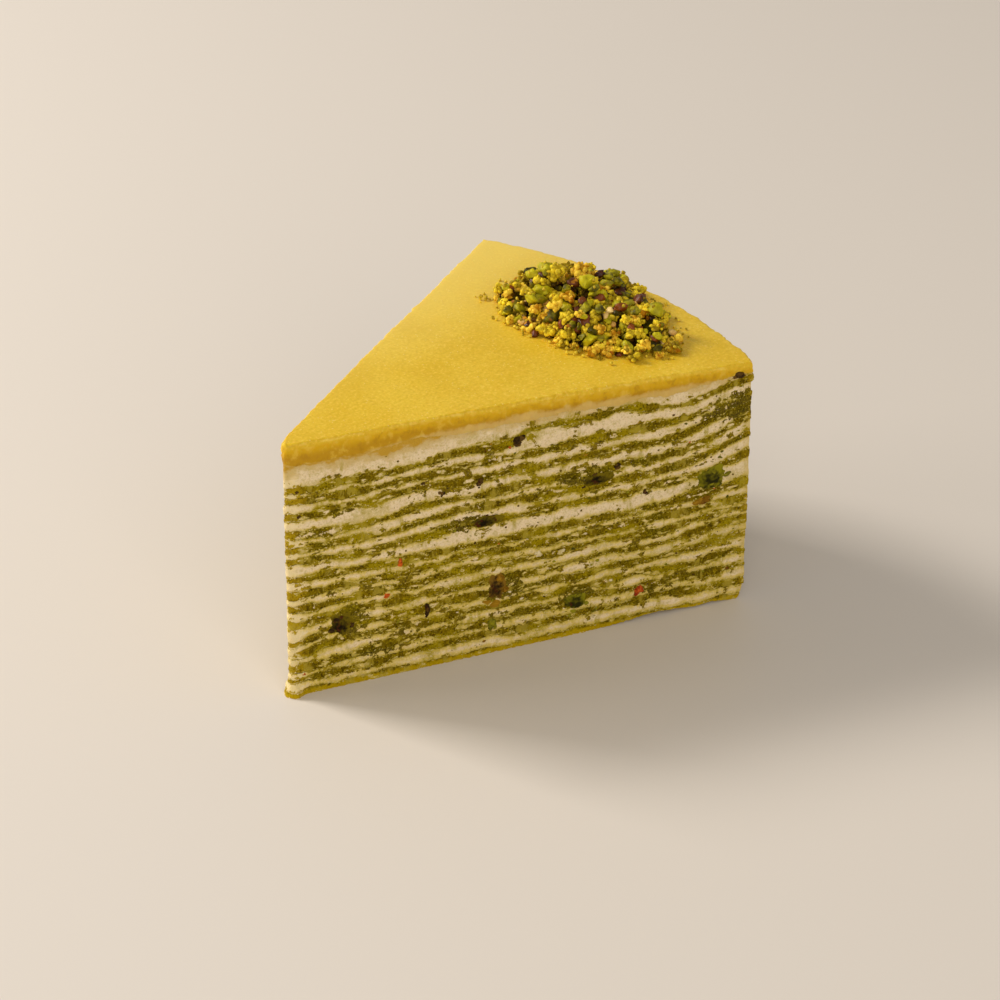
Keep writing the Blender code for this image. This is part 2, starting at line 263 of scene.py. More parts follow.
def hand_laid(x, y, height):
    """How the layers sag at the tip's foot and rise at the rim's top, near the shown face."""
    distance, behind = shown_face(x, y)
    at_tip = np.clip(1 - distance / (15 * MM), 0, 1) ** 1.4
    at_rim = np.clip((distance - 101 * MM) / (13 * MM), 0, 1) ** 1.5
    sag = -TIP_SAG * at_tip * hill(height, 13 * MM, 6.5 * MM)
    rise = RIM_RISE * at_rim * hill(height, 45 * MM, 11 * MM)
    return (sag + rise) * np.exp(-behind / (12 * MM))


def top_crepe_rise(x, y):
    """How far the top crepe rises to the glaze, past the bit of nut that props it up."""
    distance, behind = shown_face(x, y)
    up = eased(distance, 55 * MM, 61 * MM)
    down = eased(distance, 82 * MM, 98 * MM)
    return TOP_CREPE_RISE * up * (1 - down) * np.exp(-behind / (12 * MM))


def ragged_heights(x, y):
    """The stack's surfaces with the crepes' own ripples and crumbly raggedness."""
    heights = stack_heights(x, y)
    places = np.column_stack([x, y, np.zeros_like(x)])
    heights[0] += plate_lift(x, y)
    for number in range(1, len(heights) - 1):
        sheet = number // 2
        calm = min(1.0, 0.35 + 0.2 * number)
        ragged = layered_bumps(places, (0.8, 11, 11 + sheet), (0.25, 3.6, 31 + sheet),
                               (0.6, 5, 60 + number), (0.28, 1.3, 100 + number),
                               (0.24, 0.5, 140 + number))
        heights[number] += ragged * calm * MM + hand_laid(x, y, heights[number])
        if number <= TOP_CREAM:
            swell = SPONGE_SPREAD + SPONGE_SWING * bumps(places, 6 * MM, 180 + sheet)
            heights[number] += swell if number % 2 else -swell
        if number in (TOP_CREPE, TOP_CREAM):
            heights[number] += top_crepe_rise(x, y)
        thinnest = (0.12, 0.45)[number % 2] * MM
        heights[number] = np.maximum(heights[number], heights[number - 1] + thinnest)
    return heights


def select_edges(piece, wanted):
    """In edit mode, select just the edges whose two ends meet a rule."""
    mesh = bmesh.from_edit_mesh(piece.data)
    bpy.ops.mesh.select_all(action="DESELECT")
    for edge in mesh.edges:
        edge.select_set(wanted(*(end.co for end in edge.verts)))
    bmesh.update_edit_mesh(piece.data)


def blank_layer(along, across, rows):
    """A square slab whose sides are finer than its faces: x runs from tip to rim, z from 0 to 1."""
    bpy.ops.object.select_all(action="DESELECT")
    bpy.ops.mesh.primitive_grid_add(x_subdivisions=along, y_subdivisions=across, size=2)
    slab = bpy.context.object
    bpy.ops.object.mode_set(mode="EDIT")
    select_edges(slab, lambda a, b: abs(a.y * b.y - 1) < 1e-4 and abs(a.y - b.y) < 1e-4)
    bpy.ops.mesh.subdivide(number_cuts=SIDE_POINTS // along - 1)
    select_edges(slab, lambda a, b: a.x > 0.9999 and b.x > 0.9999)
    bpy.ops.mesh.subdivide(number_cuts=RIM_POINTS // across - 1)
    bpy.ops.mesh.select_all(action="SELECT")
    bpy.ops.mesh.extrude_region_move(TRANSFORM_OT_translate={"value": (0, 0, 1)})
    select_edges(slab, lambda a, b: abs(a.z - b.z) > 0.5)
    bpy.ops.mesh.subdivide(number_cuts=rows - 1)
    bpy.ops.mesh.select_all(action="SELECT")
    bpy.ops.mesh.normals_make_consistent(inside=False)
    bpy.ops.object.mode_set(mode="OBJECT")
    return slab


class Blank:
    """A blank layer, and where its points lie: along, across and up, and how near tip and rim."""

    def __init__(self, along, across, rows):
        self.slab = blank_layer(along, across, rows)
        points = np.empty(len(self.slab.data.vertices) * 3)
        self.slab.data.vertices.foreach_get("co", points)
        points = points.reshape(-1, 3)
        self.along = np.clip((points[:, 0] + 1) / 2, 0, 1)
        self.across = np.clip(points[:, 1], -1, 1)
        self.up = np.clip(points[:, 2], 0, 1)
        self.near_rim = np.clip((self.along - 1 + RIM_REACH) / RIM_REACH, 0, 1) ** 2
        self.near_tip = np.clip(1 - self.along / TIP_REACH, 0, 1) ** 2
        keys = np.round(np.column_stack([self.along, self.across]), 5)
        places, self.place_of = np.unique(keys, axis=0, return_inverse=True)
        self.place_of = self.place_of.ravel()
        self.place_along, self.place_across = places[:, 0], places[:, 1]
        self.x, self.y = plan(self.along, self.across)

    def copy(self, name):
        """A layer's own object, with its own mesh."""
        made = self.slab.copy()
        made.data = self.slab.data.copy()
        made.name = name
        bpy.context.scene.collection.objects.link(made)
        return made


def store(piece, name, values):
    """Keep one number for each of a piece's points, for its material to read."""
    field = piece.data.attributes.new(name, "FLOAT", "POINT")
    field.data.foreach_set("value", np.asarray(values, dtype=np.float32))


def shade_smooth(piece, crease):
    """Shade a piece smooth, apart from edges sharper than an angle in degrees."""
    bpy.ops.object.select_all(action="DESELECT")
    piece.select_set(True)
    bpy.context.view_layer.objects.active = piece
    bpy.ops.object.shade_smooth_by_angle(angle=math.radians(crease))


def place_points(piece, x, y, z, crease):
    """Set a piece's points and shade it."""
    piece.data.vertices.foreach_set("co", np.column_stack([x, y, z]).ravel())
    piece.data.update()
    shade_smooth(piece, crease)


def foot_and_lean(height):
    """How far the tip stands out: a wet foot flares at the plate, and the top leans back."""
    return FOOT_FLARE * np.exp(-((height / FOOT_HEIGHT) ** 2)) - TIP_LEAN * height / TIP_HEIGHT


def rim_tuck(height):
    """How far the rim draws in near the plate."""
    return -RIM_TUCK * np.clip(1 - height / RIM_TUCK_HEIGHT, 0, 1) ** 2


def stain_depth(x, y, z):
    """How darkly nut and matcha stain the face: 1 in the middle of a stain on the shown face."""
    depth = np.zeros_like(x)
    distance, behind = shown_face(x, y)
    for middle, height, half_length, half_height, strength in STAINS:
        away = np.hypot((distance / MM - middle) / half_length, (z / MM - height) / half_height)
        depth = np.maximum(depth, strength * np.clip(1.6 - away, 0, 1))
    return depth * np.exp(-behind / (4 * MM))


def cut_layer(name, blank, surface, heights, relief, rim_relief):
    """A crepe or cream layer in the stack, with the relief left by the knife and the pan."""
    piece = blank.copy(name)
    low = heights[surface][blank.place_of] + (LAYER_GAP if surface else 0)
    high = heights[surface + 1][blank.place_of] - LAYER_GAP
    z = low + (high - low) * blank.up
    places = np.column_stack([blank.x, blank.y, z])
    draws = random.Random(name)
    cut_out = (relief(places, blank.up) + draws.uniform(-0.05, 0.05)) * MM
    rim_out = (rim_relief(places, blank.up, surface) + draws.uniform(-0.1, 0.1)) * MM
    tip_out = (foot_and_lean(z) + cut_out) * blank.near_tip
    rim_out = (rim_out + rim_tuck(z)) * blank.near_rim
    x, y = plan(blank.along, blank.across, cut_out, tip_out, rim_out)
    place_points(piece, x, y, z, LAYER_CREASE)
    border = blank.up if surface == TOP_CREAM else np.minimum(blank.up, 1 - blank.up)
    store(piece, "border", border * (high - low) / MM)
    store(piece, "stain", stain_depth(x, y, z))
    return piece


def knife_relief(places):
    """The shallow waves and upright ticks, in millimetres, that the knife left on every layer."""
    upright = places * (1, 1, 0.12)
    return layered_bumps(places, (0.15, 14, 3)) + layered_bumps(upright, (0.07, 0.7, 5))


def crepe_relief(places, _up):
    """A cut crepe: spongy and granular, a little lower than the cream."""
    return knife_relief(places) + layered_bumps(places, (0.22, 0.9, 7), (0.16, 0.42, 8)) - 0.06


def cream_relief(places, up):
    """Cut cream: smooth smears that stand a little proud between the crepes."""
    smear = layered_bumps(places * (1, 1, 2), (0.22, 2.6, 9))
    smear += layered_bumps(places, (0.14, 0.7, 10))
    return knife_relief(places) + smear + 0.08 * (1 - (2 * up - 1) ** 2) + 0.02


def crepe_rim(places, up, surface):
    """A crepe's own edge, uneven as it set in the pan."""
    set_edge = layered_bumps(places, (0.25, 6, 41 + surface), (0.22, 1.6, 81), (0.1, 0.6, 82))
    return set_edge + 0.1 * (1 - (2 * up - 1) ** 2)


def cream_rim(places, _up, surface):
    """Cream at the rim: drawn in here, squeezed out there."""
    return layered_bumps(places, (0.3, 7, 41 + surface), (0.14, 1.5, 83)) - 0.12


def feed(socket, value):
    """Give an input its value: another node's output, a number, a vector or a colour."""
    if isinstance(value, bpy.types.NodeSocket):
        socket.id_data.links.new(value, socket)
    else:
        socket.default_value = (*value, 1) if socket.type == "RGBA" else value


def give(node, **values):
    """Give a node its settings, or else its inputs, by name, with _ for a space."""
    for name, value in values.items():
        if hasattr(node, name):
            setattr(node, name, value)
        else:
            feed(node.inputs[name.replace("_", " ")], value)
    return node


def add(beside, kind, **values):
    """A new shader node in the tree that a socket belongs to."""
    return give(beside.id_data.nodes.new("ShaderNode" + kind), **values)


def kept(tree, name):
    """A number that is kept for each of a piece's points."""
    return add(tree, "Attribute", attribute_name=name).outputs["Fac"]


def lump_noise(place, size_mm, detail=3.0, stretch=(1, 1, 1), shift=0.0):
    """Noise in lumps of one size in millimetres, read at object coordinates."""
    mapped = add(place, "Mapping", Vector=place, Location=(shift, shift * 0.7, shift * 0.3),
                 Scale=[1000 / size_mm * share for share in stretch])
    lumps = add(place, "TexNoise", Vector=mapped.outputs["Vector"],
                Scale=1.0, Detail=detail, Roughness=0.55)
    return lumps.outputs["Fac"]


def step_mask(value, low, high, strength=1.0):
    """A mask that is 0 below one value and has its full strength above another."""
    band = add(value, "MapRange", interpolation_type="SMOOTHSTEP", Value=value,
               From_Min=low, From_Max=high, To_Max=strength)
    return band.outputs["Result"]


def math_node(operation, first, second):
    """The result of one sum on two sockets, or on a socket and a number."""
    node = add(second if isinstance(first, float) else first, "Math", operation=operation)
    feed(node.inputs[0], first)
    feed(node.inputs[1], second)
    return node.outputs["Value"]


def plus(first, second):
    """Two values added up."""
    return math_node("ADD", first, second)


def less(first, second):
    """One value less another."""
    return math_node("SUBTRACT", first, second)


def times(first, second):
    """Two values multiplied."""
    return math_node("MULTIPLY", first, second)


def jittered(value, *jitters):
    """A value moved up and down by noises, each with its own reach."""
    for lumps, reach in jitters:
        value = plus(value, times(less(lumps, 0.5), reach))
    return value


def tint(base, colour, mask):
    """A colour laid over another by a mask."""
    mix = add(mask, "Mix", data_type="RGBA")
    for number, value in ((0, mask), (6, base), (7, colour)):
        feed(mix.inputs[number], value)
    return mix.outputs[2]


def washes(colour, steps):
    """A colour under a row of washes: each has its own colour, mask, mask limits and strength."""
    for wash, mask, low, high, strength in steps:
        colour = tint(colour, wash, step_mask(mask, low, high, strength))
    return colour


def dot_mask(place, apart_mm, dot, detail, shift, gathered):
    """Small dots, which come only where a coarser noise gathers them."""
    cells = add(place, "TexVoronoi", Vector=place, Scale=1000 / apart_mm, Randomness=1.0)
    where = lump_noise(place, 3.0, detail, shift=shift)
    return times(step_mask(cells.outputs["Distance"], *dot), step_mask(where, *gathered))


def cake_radius(place):
    """The distance of a place from the upright line through the cake's centre."""
    flat = add(place, "VectorMath", operation="MULTIPLY_ADD")
    for socket, value in zip(flat.inputs, (place, (1, 1, 0), (-CAKE_CENTRE_X, 0, 0))):
        feed(socket, value)
    length = add(place, "VectorMath", operation="LENGTH", Vector=flat.outputs["Vector"])
    return length.outputs["Value"]


def cut_face_group():
    """The colours of cut crepe and cut cream, and the masks by which they are dragged together."""
    tree = bpy.data.node_groups.new("cut_face", "ShaderNodeTree")
    for label in ("Border", "Stain"):
        tree.interface.new_socket(label, in_out="INPUT", socket_type="NodeSocketFloat")
    given = tree.nodes.new("NodeGroupInput").outputs
    place = add(tree, "TexCoord").outputs["Object"]
    grain = lump_noise(place, 1.2, 5.0)
    fine = lump_noise(place, 0.42, 3.0, shift=3.1)
    smear = lump_noise(place, 3.4, 6.0, (1, 1, 2.4), shift=7.7)
    patch = lump_noise(place, 9.0, 4.0, (1, 1, 1.8), shift=1.9)
    blot = lump_noise(place, 4.2, 5.0, (1, 1, 1.3), shift=4.6)
    upright = lump_noise(place, 2.6, 5.0, (1, 1, 0.4), shift=2.7)
    border = given["Border"]
    fuzzy = jittered(border, (fine, -1.3), (grain, -1.7), (upright, -1.0))
    stain = jittered(given["Stain"], (fine, 0.5), (grain, 1.8), (blot, 1.2))
    stain = step_mask(stain, 0.55, 0.95)
    speck = dot_mask(place, 2.1, (0.17, 0.1), 1.0, 5.3, (0.58, 0.64))
    rough = times(less(plus(grain, fine), 1.0), 0.22)
    drag = less(less(1.0, smear), times(border, 0.09))
    drag = plus(drag, rough)
    upright = plus(upright, rough)
    thick = times(math_node("MAXIMUM", border, 0.8), 0.05)
    blot_edge = less(plus(blot, rough), thick)
    radius = cake_radius(place)
    near_tip = plus(radius, times(blot, -9.0 * MM))
    at_tip = step_mask(near_tip, 3.4 * MM, -2.0 * MM)
    split = add(place, "SeparateXYZ", Vector=place).outputs
    wet = plus(split["Z"], times(grain, -2.4 * MM))
    crepe = washes((0.105, 0.066, 0.0001), (
        ((0.46, 0.29, 0.004), radius, 112.6 * MM, 114.6 * MM, 0.65),
        ((0.23, 0.15, 0.0005), grain, 0.34, 0.66, 0.9),
        ((0.36, 0.265, 0.001), patch, 0.51, 0.62, 0.65),
        ((0.1, 0.074, 0.0001), patch, 0.46, 0.34, 0.6),
        ((0.36, 0.26, 0.004), fuzzy, 0.3, -0.1, 0.55),
        ((0.075, 0.054, 0.0001), stain, 0.0, 1.0, 0.65),
        ((0.52, 0.33, 0.008), at_tip, 0.0, 1.0, 0.55),
        # Fine pale grain, partly painted highlight.
        ((0.5, 0.38, 0.012), fine, 0.54, 0.68, 0.55),
        ((0.03, 0.016, 0.0001), fine, 0.45, 0.32, 0.85),
        ((0.08, 0.025, 0.001), speck, 0.0, 1.0, 0.8),
        ((0.5, 0.33, 0.002), wet, 0.6 * MM, -0.4 * MM, 0.75),
    ))
    lift = plus(fuzzy, times(split["Z"], 12.0))
    soak = plus(split["Z"], times(smear, 4.0 * MM))
    soak = jittered(soak, (blot, 6.0 * MM))
    soak = less(soak, step_mask(split["X"], -45.0 * MM, -5.0 * MM, 1.6 * MM))
    cream = washes((0.36, 0.265, 0.01), (
        ((0.67, 0.495, 0.11), fuzzy, -0.05, 0.6, 1.0),
        ((0.79, 0.618, 0.38), lift, 0.75, 1.5, 1.0),
        ((0.44, 0.33, 0.03), patch, 0.52, 0.64, 0.45),
        ((0.38, 0.285, 0.018), upright, 0.565, 0.68, 0.8),
        ((0.38, 0.283, 0.018), drag, 0.545, 0.58, 0.85),
        ((0.4, 0.3, 0.022), blot_edge, 0.54, 0.58, 0.85),
        ((0.45, 0.34, 0.065), grain, 0.48, 0.34, 0.45),
        # Fine pale grain, partly painted glints.
        ((0.86, 0.7, 0.43), fine, 0.51, 0.66, 0.5),
        ((0.4, 0.29, 0.04), fine, 0.48, 0.34, 0.35),
        ((0.12, 0.07, 0.001), speck, 0.2, 0.7, 1.0),
        ((0.86, 0.69, 0.36), at_tip, 0.0, 1.0, 0.7),
        ((0.6, 0.43, 0.1), radius, 112.8 * MM, 114.8 * MM, 0.5),
        ((0.56, 0.385, 0.11), soak, 58.0 * MM, 60.5 * MM, 0.75),
        ((0.51, 0.28, 0.01), soak, 60.5 * MM, 61.8 * MM, 0.9),
    ))
    height = plus(grain, times(fine, 0.7))
    shown = {"Crepe": crepe, "Cream": cream, "Border": fuzzy, "Smear": smear, "Blot": blot_edge,
             "Stain": stain, "Drag": drag, "Upright": upright, "Height": height}
    for label in shown:
        kind = "NodeSocketColor" if label in ("Crepe", "Cream") else "NodeSocketFloat"
        tree.interface.new_socket(label, in_out="OUTPUT", socket_type=kind)
    out = tree.nodes.new("NodeGroupOutput")
    for label, value in shown.items():
        feed(out.inputs[label], value)
    return tree


cut_face_look = cut_face_group()


def cut_face(tree):
    """The cut face's colours and masks, read at a layer's own borders and stains."""
    look = add(tree, "Group", node_tree=cut_face_look,
               Border=kept(tree, "border"), Stain=kept(tree, "stain"))
    return look.outputs


def finish_surface(shader, colour, specular, height, strength, depth_mm):
    """Give a shader its colour, its shine and its fine relief."""
    relief = add(height, "Bump", Strength=strength, Distance=depth_mm * MM, Height=height)
    give(shader, Base_Color=colour, Normal=relief.outputs["Normal"], Specular_IOR_Level=specular)


def crepe_material():
    """Green pistachio crepe, with cream smeared over it here and there."""
    made, shader = plain_material("crepe", (0.2, 0.15, 0.02), 0.6)
    look = cut_face(made.node_tree)
    colour = washes(look["Crepe"], (
        ((0.5, 0.385, 0.07), look["Smear"], 0.57, 0.62, 0.9),
        (look["Cream"], look["Smear"], 0.61, 0.64, 1.0),
        (look["Cream"], look["Border"], 0.0, -0.08, 1.0),
        (look["Cream"], look["Blot"], 0.33, 0.31, 1.0),
        ((0.44, 0.33, 0.035), look["Upright"], 0.44, 0.37, 0.65),
    ))
    finish_surface(shader, colour, 0.04, look["Height"], 0.9, 0.45)
    return made


def cream_material():
    """Cream: pale and satin, with crepe crumbs dragged over it here and there."""
    made, shader = plain_material("cream", (0.6, 0.5, 0.3), 0.5)
    look = cut_face(made.node_tree)
    colour = washes(look["Cream"], (
        (look["Crepe"], look["Drag"], 0.55, 0.58, 1.0),
        (look["Crepe"], look["Border"], 0.05, -0.05, 1.0),
        (look["Crepe"], look["Blot"], 0.555, 0.585, 1.0),
        (look["Crepe"], look["Stain"], 0.3, 0.55, 1.0),
    ))
    finish_surface(shader, colour, 0.11, look["Height"], 0.7, 0.4)
    give(shader, Subsurface_Weight=0.1, Subsurface_Scale=0.5 * MM,
         Subsurface_Radius=(1.0, 0.7, 0.3))
    return made


layer_kinds = (
    ("crepe", Blank(*LAYER_GRID, CREPE_ROWS), crepe_material(), crepe_relief, crepe_rim),
    ("cream", Blank(*LAYER_GRID, CREAM_ROWS), cream_material(), cream_relief, cream_rim),
)
first_blank = layer_kinds[0][1]
layer_heights = ragged_heights(*plan(first_blank.place_along, first_blank.place_across))

for number in range(len(CREAMS)):
    for on_top, (kind, blank, finish, relief, rim_relief) in enumerate(layer_kinds):
        node = f"{kind}_{number + 1:02d}"
        surface = 2 * number + on_top
        layer = cut_layer(f"{node}_cut", blank, surface, layer_heights, relief, rim_relief)
        layer.data.materials.append(finish)
        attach(layer, "root")
        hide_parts(node)

for _kind, blank, *_rest in layer_kinds:
    bpy.data.objects.remove(blank.slab)


# The glaze
# A set layer of mustard-yellow pistachio glaze, poured over the top cream before the cake was
# cut. Its cut edge is rounded and clings to the knife, it bulges over the tip, and its lower
# side blends into the cream.

GLAZE_GRID = (180, 56)
GLAZE_ROWS = 16
GLAZE_EDGE = 0.6 * MM
ROUNDED_FROM = 0.72
TIP_BULGE = 0.45 * MM
GLAZE_CREASE = 60


def glaze_layer(blank):
    """The glaze, with a rounded upper edge, a low lip along the cuts and a bulge at the tip."""
    piece = blank.copy("glaze_set")
    heights = ragged_heights(*plan(blank.place_along, blank.place_across))
    low = heights[-2][blank.place_of] - LAYER_GAP
    top = heights[-1][blank.place_of]
    straight = np.clip(blank.up / ROUNDED_FROM, 0, 1)
    turn = np.clip((blank.up - ROUNDED_FROM) / (1 - ROUNDED_FROM), 0, 1) * math.pi / 2
    flat_points = np.column_stack([blank.x, blank.y, np.zeros_like(top)])
    waves = layered_bumps(flat_points, (0.14, 13, 2), (0.05, 4, 4)) * MM
    z = low + (top - GLAZE_EDGE - low) * straight + GLAZE_EDGE * np.sin(turn) + waves * blank.up
    places = np.column_stack([blank.x, blank.y, z])
    clear = np.clip(blank.up / 0.35, 0, 1) ** 2
    set_relief = knife_relief(places) + layered_bumps(places, (0.4, 2.2, 12), (0.24, 0.9, 13))
    set_relief += 0.12 * np.sin(math.pi * np.clip(blank.up * 1.15, 0, 1)) ** 2
    out = (clear * set_relief + (1 - clear) * cream_relief(places, 1.0)) * MM
    out -= GLAZE_EDGE * (1 - np.cos(turn))
    bulge = TIP_BULGE * np.sin(math.pi * np.clip(blank.up * 1.1, 0, 1)) ** 0.6
    tip_out = (foot_and_lean(z) + out + bulge) * blank.near_tip
    rim_out = (out + layered_bumps(flat_points, (0.3, 5, 44)) * MM) * blank.near_rim
    x, y = plan(blank.along, blank.across, out, tip_out, rim_out)
    place_points(piece, x, y, z, GLAZE_CREASE)
    store(piece, "fall", (top + waves - z) / MM)
    return piece


def glaze_material():
    """The glaze: clear mustard yellow on top, deep amber where the cut shows its thickness."""
    made, shader = plain_material("glaze", (0.76, 0.5, 0.06), 0.38)
    tree = made.node_tree
    place = add(tree, "TexCoord").outputs["Object"]
    soft = lump_noise(place, 16.0, 2.0)
    fine = lump_noise(place, 0.7, 3.0, shift=2.2)
    clot = lump_noise(place, 2.4, 6.0, shift=3.6)
    fall = kept(tree, "fall")
    # Painted glints: tiny pale dots on the top, which also raise small bumps.
    sparkle = dot_mask(place, 1.1, (0.22, 0.08), 2.0, 9.1, (0.42, 0.6))
    sparkle = times(sparkle, step_mask(fall, 0.5, 0.2))
    uneven = jittered(fall, (soft, 2.0))
    side = step_mask(uneven, 0.6, 1.2)
    broken_highlight = step_mask(lump_noise(place, 3.5, 6.0, shift=6.0), 0.48, 0.62)
    # Painted highlight along the rounded top edge, broken into patches.
    lip = times(step_mask(fall, 0.15, 0.35), step_mask(fall, 1.0, 0.6))
    split = add(place, "SeparateXYZ", Vector=place).outputs
    sooner = step_mask(split["X"], -45.0 * MM, -5.0 * MM, 2.3)
    fade = jittered(plus(uneven, sooner), (clot, 3.0))
    colour = washes((0.73, 0.465, 0.02), (
        ((0.78, 0.52, 0.036), soft, 0.3, 0.7, 1.0),
        ((0.64, 0.4, 0.012), fine, 0.52, 0.32, 0.6),
        ((0.9, 0.64, 0.1), fine, 0.54, 0.68, 0.5),
        # Painted sheen: the top grows paler towards the back.
        ((0.88, 0.645, 0.13), split["Y"], 0.0, 42.0 * MM, 0.8),
        ((0.92, 0.74, 0.27), sparkle, 0.0, 1.0, 0.5),
        ((0.66, 0.38, 0.002), uneven, 0.5, 1.7, 1.0),
        ((0.5, 0.265, 0.002), uneven, 1.5, 3.8, 1.0),
        ((0.74, 0.48, 0.05), times(side, clot), 0.5, 0.66, 0.6),
        ((0.36, 0.17, 0.002), times(side, less(1.0, clot)), 0.54, 0.68, 0.4),
        ((0.64, 0.43, 0.13), fade, 5.0, 6.2, 0.75),
        ((0.86, 0.62, 0.12), times(lip, broken_highlight), 0.0, 1.0, 0.35),
    ))
    height = plus(times(fine, 0.5), times(sparkle, 0.6))
    finish_surface(shader, colour, 0.2, height, 0.5, 0.2)
    give(shader, Subsurface_Weight=0.2, Subsurface_Scale=1.5 * MM,
         Subsurface_Radius=(1.0, 0.6, 0.15))
    return made


glaze_blank = Blank(*GLAZE_GRID, GLAZE_ROWS)
glaze = glaze_layer(glaze_blank)
glaze.data.materials.append(glaze_material())
bpy.data.objects.remove(glaze_blank.slab)
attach(glaze, "root")
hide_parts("glaze")


# The bits of nut in the cut faces
# Coarse bits of pistachio that were strewn on the cream. The knife went through them, so each
# ends flat at the cut face: green flesh, brown and purple skin.

# Each bit: which cut face, distance from the cake's centre, height, length and height of the bit
NUT_BITS = {
    "nut_bit_green_large": (-1, 105.8, 35.2, 7.0, 6.2),
    "nut_bit_green_low": (-1, 71.8, 9.2, 5.5, 4.5),
    "nut_bit_brown": (-1, 52.0, 18.0, 4.0, 7.0),
    "nut_bit_dark_flat": (-1, 49.8, 36.0, 7.0, 2.8),
    "nut_bit_dark_tip": (-1, 14.5, 17.0, 5.5, 6.0),
    "nut_bit_dark_long": (-1, 77.0, 41.0, 7.5, 3.0),
    "nut_bit_far_green": (1, 88.0, 24.0, 6.5, 5.0),
    "nut_bit_far_brown": (1, 37.0, 44.0, 5.0, 3.4),
    "nut_bit_far_dark": (1, 62.0, 12.5, 6.0, 4.0),
}
NUT_DEPTH = 5.0 * MM
NUT_SWELL = 0.55 * MM
NUT_CREASE = 60
# Painted shade for the gaps between the heap's grains.
GAP_SHADE = (0.04, 0.014, 0.0005)
# Each: dark, light and skin colour, size of patches in mm, share of skin, shine
CUT_NUTS = {
    "green": ((0.018, 0.016, 0.0001), (0.24, 0.21, 0.004), (0.06, 0.014, 0.002), 1.3, 0.03, 0.08),
    "brown": ((0.018, 0.007, 0.0003), (0.22, 0.115, 0.008), (0.05, 0.01, 0.002), 1.0, 0.06, 0.08),
    "dark": ((0.008, 0.004, 0.0001), (0.17, 0.12, 0.002), (0.06, 0.012, 0.002), 1.1, 0.07, 0.06),
}


def face_frame(side, distance):
    """A place on a cut face at floor level, the way along it and the way out of it."""
    along = Vector((math.cos(HALF_ANGLE), side * math.sin(HALF_ANGLE), 0))
    out = Vector((-math.sin(HALF_ANGLE), side * math.cos(HALF_ANGLE), 0))
    return Vector((CAKE_CENTRE_X, 0, 0)) + along * distance * MM, along, out


def lumpy_ball(name, divisions, lumps, size, seed):
    """A knobbly ball of unit radius, modelled from an icosphere."""
    bpy.ops.object.select_all(action="DESELECT")
    bpy.ops.mesh.primitive_ico_sphere_add(subdivisions=divisions, radius=1)
    ball = bpy.context.object
    ball.name = name
    for point in ball.data.vertices:
        place = point.co / size + Vector((seed * 1.9, seed * 0.7, seed * 3.3))
        point.co *= 1 + lumps * noise.noise(place) + 0.4 * lumps * noise.noise(place * 2.3)
    return ball


def nut_bit(name, side, distance, height, length, tall, seed):
    """One bit of nut, cut flat by the knife at the face."""
    foot, along, out = face_frame(side, distance)
    centre = foot + Vector((0, 0, height * MM)) - out * 0.1 * MM
    half = Vector((length, 0, tall)) / 2 * MM
    bit = lumpy_ball(name + "_cut", 5, 0.3, 0.6, seed)
    tones_with_painted_light = []
    for point in bit.data.vertices:
        x, y, z = point.co
        # Tone of each point: lighter towards the right and the top as painted light, and lighter
        # near the edge, where the bit blends into the crepe.
        tones_with_painted_light.append(0.2 + 0.25 * x + 0.2 * z + 0.9 * max(0, math.hypot(x, z) - 0.45))
        depth = y * (NUT_DEPTH / 2 if y < 0 else NUT_SWELL)
        point.co = centre + along * x * half.x + out * depth + Vector((0, 0, z * half.z))
    store(bit, "tint", tones_with_painted_light)
    shade_smooth(bit, NUT_CREASE)
    return bit


def nut_material(name, dark, light, skin, lump_mm, skin_share, specular=0.2, roughness=0.5):
    """Cut or chopped pistachio: flesh in two tones with darker skin, no two grains quite alike."""
    made, shader = plain_material(name, light, roughness)
    tree = made.node_tree
    place = add(tree, "TexCoord").outputs["Object"]
    # Each point's kept tone: random for each grain, and for the bits in the cut faces also painted
    # light.
    each = kept(tree, "tint")
    tone = plus(times(lump_noise(place, lump_mm), 0.8), times(each, 0.45))
    worn = plus(lump_noise(place, lump_mm * 1.6, 2.0, shift=4.4), times(each, -0.12))
    colour = washes(dark, (
        (light, tone, 0.36, 0.84, 1.0),
        (skin, worn, 0.62 - skin_share, 0.72 - skin_share, 1.0),
    ))
    # Painted shade: grains go dark where they lie deep between others.
    colour = tint(colour, GAP_SHADE, kept(tree, "deep"))
    finish_surface(shader, colour, specular, lump_noise(place, 0.35, shift=1.1), 0.5, 0.2)
    return made


cut_nut_finish = {kind: nut_material(f"nut_{kind}_cut", *look) for kind, look in CUT_NUTS.items()}

for seed, (name, sizes) in enumerate(NUT_BITS.items()):
    bit = nut_bit(name, *sizes, seed)
    kind = [kind for kind in CUT_NUTS if kind in name][0]
    bit.data.materials.append(cut_nut_finish[kind])
    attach(bit, "root")
    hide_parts(name)


# Crumbs in the cut faces
# Small specks of nut and skin, blobs of cream and crumbs of crepe that the knife left behind.
# They sit half sunk in the two cut faces.

